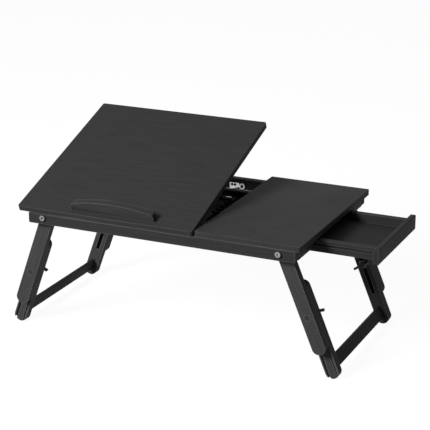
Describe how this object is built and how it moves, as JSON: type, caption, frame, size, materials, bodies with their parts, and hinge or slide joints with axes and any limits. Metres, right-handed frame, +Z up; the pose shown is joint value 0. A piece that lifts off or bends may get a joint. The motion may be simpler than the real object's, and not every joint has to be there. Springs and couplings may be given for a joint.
{
  "type": "folding lap desk with drawer",
  "caption": "Folding lap desk with a tilting board, a fixed board above a side drawer, and splayed folding legs with sliding, wing-nut-clamped lower halves.",
  "frame": {"origin": "on the floor, below the middle of the box that holds the desk as it stands, its drawer open and its board tilted", "axes": "+X along the desk towards the drawer, +Y from the front edge with the stop bar to the back, +Z up"},
  "size_m": [0.701, 0.359, 0.3572],
  "materials": {
    "black_paint": "satin black paint on wood, faint grain",
    "black_paint_inside": "thin matte black paint on wood",
    "steel": "zinc-plated steel",
    "black_steel": "black-coated steel",
    "black_plastic": "moulded black plastic",
    "bare_wood": "unpainted wood, fine grain"
  },
  "bodies": {
    "frame": {"front_apron": "black_paint", "rear_apron": "black_paint", "left_end_rail": "black_paint", "front_end_block": "black_paint", "rear_end_block": "black_paint", "front_inner_rail": "black_paint_inside", "rear_inner_rail": "black_paint_inside", "divider_rail": "black_paint_inside", "bottom_panel": "black_paint_inside", "fixed_board": "black_paint", "front_drawer_runner": "bare_wood", "rear_drawer_runner": "bare_wood", "left_notched_rack": "black_paint_inside", "right_notched_rack": "black_paint_inside", "frame_hinge_leaves": "black_steel", "hinge_pins": "black_steel", "catch_plate": "steel", "catch_ring": "steel", "frame_dowels": "bare_wood", "frame_screws": "black_steel", "pivot_bolts": "steel", "pivot_washers": "black_plastic", "pivot_nuts": "steel"},
    "tilting_board": {"tilting_board": "black_paint", "stop_bar": "black_paint", "board_hinge_leaves": "black_steel", "catch_strike": "steel", "prop_brackets": "black_steel", "tilt_screws": "black_steel"},
    "prop": {"left_prop_arm": "black_paint", "right_prop_arm": "black_paint", "prop_foot_bar": "steel", "prop_pins": "steel"},
    "drawer": {"drawer_front": "black_paint", "front_drawer_side": "black_paint", "rear_drawer_side": "black_paint", "drawer_back": "black_paint_inside", "drawer_bottom": "black_paint_inside", "drawer_dowels": "bare_wood", "drawer_screws": "black_steel"},
    "left_upper_legs": {"front_left_upper_leg": "black_paint", "back_left_upper_leg": "black_paint", "left_clamp_bolts": "black_steel", "left_clamp_washers": "steel"},
    "left_lower_legs": {"front_left_lower_leg": "black_paint", "back_left_lower_leg": "black_paint", "left_stretcher": "black_paint"},
    "front_left_wing_nut": {"front_left_wing_nut": "black_plastic"},
    "back_left_wing_nut": {"back_left_wing_nut": "black_plastic"},
    "right_upper_legs": {"front_right_upper_leg": "black_paint", "back_right_upper_leg": "black_paint", "right_clamp_bolts": "black_steel", "right_clamp_washers": "steel"},
    "right_lower_legs": {"front_right_lower_leg": "black_paint", "back_right_lower_leg": "black_paint", "right_stretcher": "black_paint"},
    "front_right_wing_nut": {"front_right_wing_nut": "black_plastic"},
    "back_right_wing_nut": {"back_right_wing_nut": "black_plastic"}
  },
  "joints": [
    {"name": "drawer_slide", "type": "slide", "parent": "frame", "child": "drawer", "axis": [1, 0, 0], "range_m": [-0.112, 0.03]},
    {"name": "board_tilt", "type": "hinge", "parent": "frame", "child": "tilting_board", "pos_m": [-0.13696, -0.1726, 0.23515], "axis": [1, 0, 0], "range_deg": [-19, 15.5]},
    {"name": "prop_swing", "type": "hinge", "parent": "tilting_board", "child": "prop", "pos_m": [-0.13696, -0.0291, 0.27912], "axis": [-1, 0, 0], "range_deg": [-48.82, 39.83]},
    {"name": "left_legs_fold", "type": "hinge", "parent": "frame", "child": "left_upper_legs", "pos_m": [-0.25996, 0, 0.227], "axis": [0, -1, 0], "range_deg": [0, 102]},
    {"name": "left_legs_height", "type": "slide", "parent": "left_upper_legs", "child": "left_lower_legs", "axis": [0.342, 0, 0.9397], "range_m": [-0.04, 0.04]},
    {"name": "front_left_wing_nut_turn", "type": "hinge", "parent": "left_upper_legs", "child": "front_left_wing_nut", "pos_m": [-0.30237, -0.1263, 0.11048], "axis": [0, 1, 0], "continuous": true},
    {"name": "back_left_wing_nut_turn", "type": "hinge", "parent": "left_upper_legs", "child": "back_left_wing_nut", "pos_m": [-0.30237, 0.1263, 0.11048], "axis": [0, 1, 0], "continuous": true},
    {"name": "right_legs_fold", "type": "hinge", "parent": "frame", "child": "right_upper_legs", "pos_m": [0.19804, 0, 0.227], "axis": [0, 1, 0], "range_deg": [0, 104]},
    {"name": "right_legs_height", "type": "slide", "parent": "right_upper_legs", "child": "right_lower_legs", "axis": [-0.3827, 0, 0.9239], "range_m": [-0.036, 0.044]},
    {"name": "front_right_wing_nut_turn", "type": "hinge", "parent": "right_upper_legs", "child": "front_right_wing_nut", "pos_m": [0.24549, -0.1263, 0.11244], "axis": [0, 1, 0], "continuous": true},
    {"name": "back_right_wing_nut_turn", "type": "hinge", "parent": "right_upper_legs", "child": "back_right_wing_nut", "pos_m": [0.24549, 0.1263, 0.11244], "axis": [0, 1, 0], "continuous": true}
  ],
  "couplings": [
    {"joint": "prop_swing", "follows": "board_tilt", "ratio": 2.5689}
  ]
}
